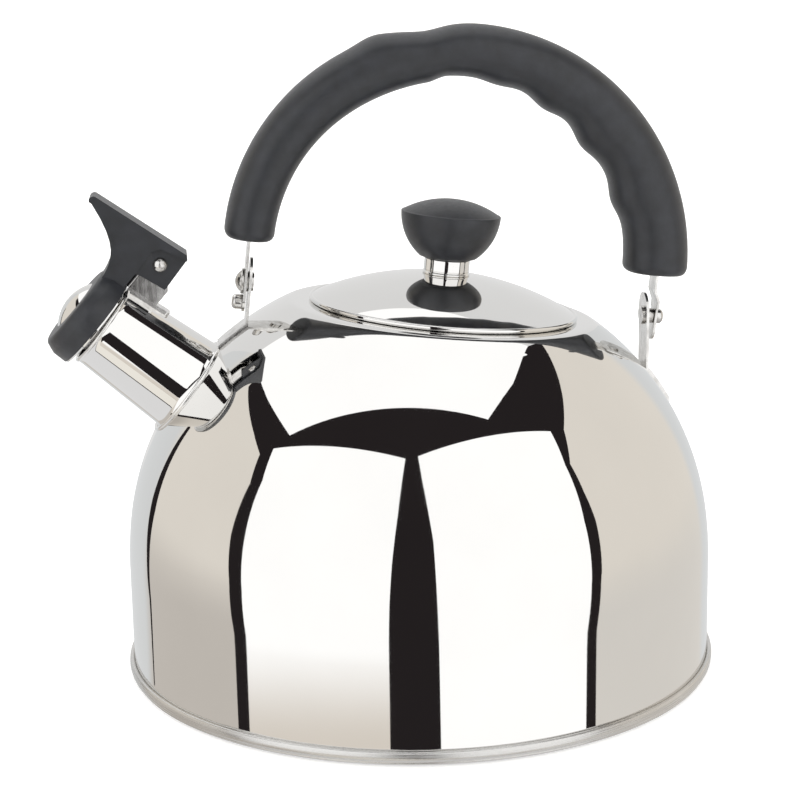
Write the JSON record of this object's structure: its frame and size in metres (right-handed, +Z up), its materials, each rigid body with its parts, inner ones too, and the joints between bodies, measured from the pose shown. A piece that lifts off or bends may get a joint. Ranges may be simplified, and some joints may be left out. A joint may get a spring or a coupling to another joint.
{
  "type": "stovetop whistling kettle",
  "caption": "Domed stainless steel stovetop kettle with a lift-off lid, a folding bow handle and a hinged whistle cap on a short spout.",
  "frame": {"origin": "centre of the base, on the surface that the kettle stands on", "axes": "+Z up, spout towards -X, handle in the XZ plane"},
  "size_m": [0.2324, 0.21, 0.2246],
  "materials": {
    "polished_steel": "mirror polished stainless steel",
    "satin_steel": "satin spun stainless steel",
    "strip_steel": "bright rolled stainless strip",
    "rivet_steel": "bright headed steel",
    "spring_steel": "bright spring wire",
    "aluminium": "spun aluminium",
    "bakelite": "moulded black phenolic, satin",
    "brass": "turned brass"
  },
  "bodies": {
    "kettle": {"body_shell": "polished_steel", "base_pan": "satin_steel", "heat_spreader": "aluminium", "base_rim": "satin_steel", "spout_tube": "polished_steel", "spout_collar": "polished_steel", "hanger_left": "strip_steel", "hanger_right": "strip_steel", "rivet_left": "rivet_steel", "rivet_right": "rivet_steel", "spacer_left": "strip_steel", "spacer_right": "strip_steel", "head_washer_left": "strip_steel", "bracket_base": "strip_steel", "cap_bracket": "strip_steel", "cap_rivet": "rivet_steel", "cap_spring": "spring_steel"},
    "handle": {"strap_left": "strip_steel", "strap_right": "strip_steel", "stop_stud": "rivet_steel", "grip": "bakelite"},
    "lid": {"lid_shell": "polished_steel", "lid_skirt": "satin_steel", "lid_bead": "polished_steel", "knob": "bakelite", "knob_insert": "brass", "knob_ferrule": "polished_steel", "knob_screw": "rivet_steel", "knob_washer": "strip_steel"},
    "whistle_cap": {"cap_lever": "bakelite", "whistle_flange": "satin_steel", "whistle_dome": "polished_steel", "whistle_cup": "satin_steel"}
  },
  "joints": [
    {"name": "handle_fold", "type": "hinge", "parent": "kettle", "child": "handle", "pos_m": [0.0104, 0, 0.1301], "axis": [0.9923, 0, -0.1236], "range_deg": [-80, 80]},
    {"name": "lid_lift", "type": "slide", "parent": "kettle", "child": "lid", "axis": [0.0993, 0, 0.9951], "range_m": [0, 0.036]},
    {"name": "cap_flip", "type": "hinge", "parent": "kettle", "child": "whistle_cap", "pos_m": [-0.08777, 0, 0.14618], "axis": [0, 1, 0], "range_deg": [0, 60], "stiffness_Nm_per_rad": 0.02, "springref_deg": -20.05}
  ]
}
